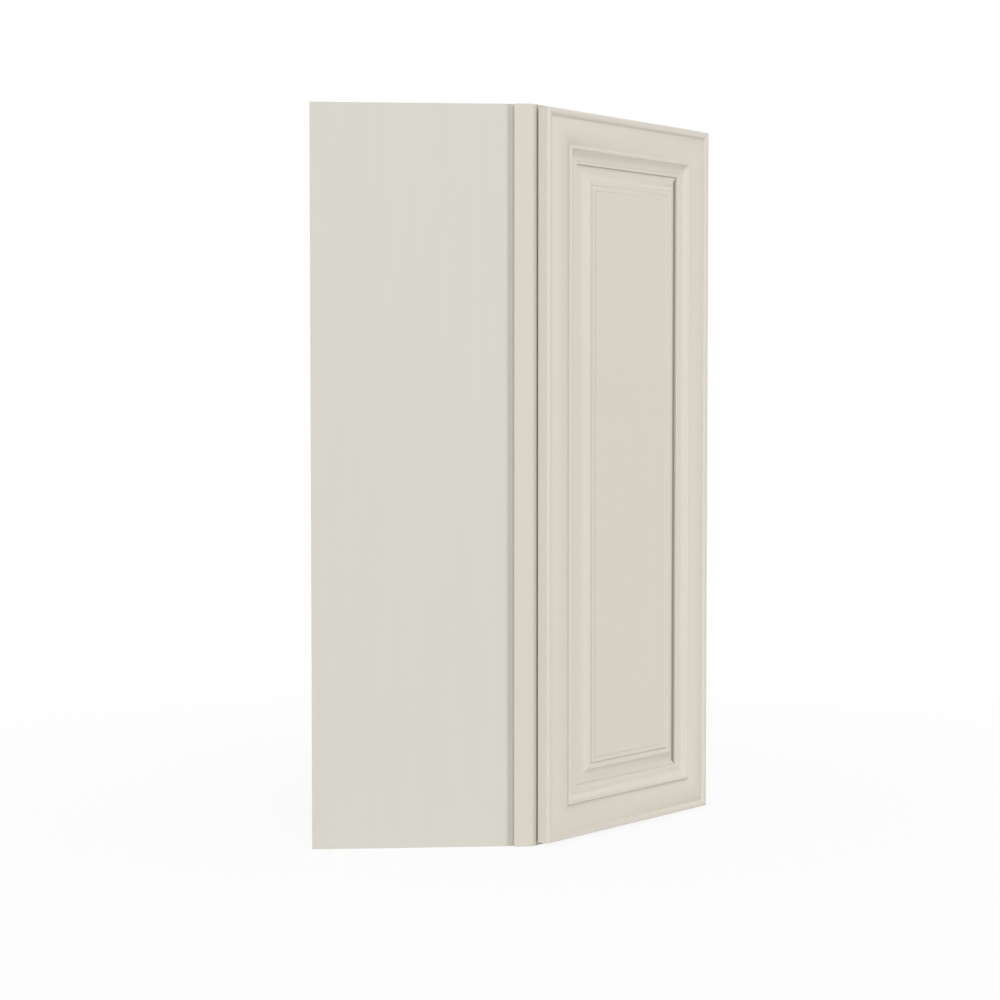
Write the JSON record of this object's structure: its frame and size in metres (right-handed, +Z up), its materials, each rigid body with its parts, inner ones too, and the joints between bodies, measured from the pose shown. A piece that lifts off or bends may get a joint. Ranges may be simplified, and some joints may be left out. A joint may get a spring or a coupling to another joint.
{
  "type": "corner wall cabinet",
  "caption": "Tall wall cabinet for a room corner, with a diagonal face frame, a raised-panel door on cup hinges, and shelves on pegs.",
  "frame": {"origin": "centre of the footprint, level with the underside of the box", "axes": "+Z up; the wall corner is at -X +Y, the left wall lies along X = -309 mm and the right wall along Y = +309 mm, and the door faces +X -Y, at 45 degrees to both"},
  "size_m": [0.6182, 0.6182, 1.0668],
  "materials": {
    "door_paint": "satin cream paint",
    "frame_paint": "satin cream paint",
    "side_paint": "satin pale grey paint",
    "plywood": "clear satin lacquer on birch plywood",
    "shelf_board": "clear satin lacquer on birch plywood",
    "hinge_metal": "nickel plated steel",
    "peg_metal": "nickel plated steel",
    "bumper_rubber": "clear soft plastic"
  },
  "bodies": {
    "cabinet": {"left_side_panel": "side_paint", "right_side_panel": "side_paint", "left_back_panel": "plywood", "right_back_panel": "plywood", "top_panel": "plywood", "bottom_panel": "plywood", "upper_left_hanging_rail": "plywood", "upper_right_hanging_rail": "plywood", "lower_left_hanging_rail": "plywood", "lower_right_hanging_rail": "plywood", "shelf_1": "shelf_board", "shelf_1_left_side_peg": "peg_metal", "shelf_1_right_side_peg": "peg_metal", "shelf_1_left_back_peg": "peg_metal", "shelf_1_right_back_peg": "peg_metal", "shelf_2": "shelf_board", "shelf_2_left_side_peg": "peg_metal", "shelf_2_right_side_peg": "peg_metal", "shelf_2_left_back_peg": "peg_metal", "shelf_2_right_back_peg": "peg_metal", "shelf_3": "shelf_board", "shelf_3_left_side_peg": "peg_metal", "shelf_3_right_side_peg": "peg_metal", "shelf_3_left_back_peg": "peg_metal", "shelf_3_right_back_peg": "peg_metal", "frame_left_stile": "frame_paint", "frame_right_stile": "frame_paint", "frame_top_rail": "frame_paint", "frame_bottom_rail": "frame_paint", "lower_hinge_arm": "hinge_metal", "lower_hinge_plate": "hinge_metal", "middle_hinge_arm": "hinge_metal", "middle_hinge_plate": "hinge_metal", "upper_hinge_arm": "hinge_metal", "upper_hinge_plate": "hinge_metal"},
    "door": {"door_left_stile": "door_paint", "door_right_stile": "door_paint", "door_top_rail": "door_paint", "door_bottom_rail": "door_paint", "door_panel": "door_paint", "upper_bumper": "bumper_rubber", "lower_bumper": "bumper_rubber", "lower_hinge_cup": "hinge_metal", "middle_hinge_cup": "hinge_metal", "upper_hinge_cup": "hinge_metal"}
  },
  "joints": [
    {"name": "door_swing", "type": "hinge", "parent": "cabinet", "child": "door", "pos_m": [0.2984, -0.02751, 0.5334], "axis": [0, 0, 1], "range_deg": [0, 105]}
  ]
}
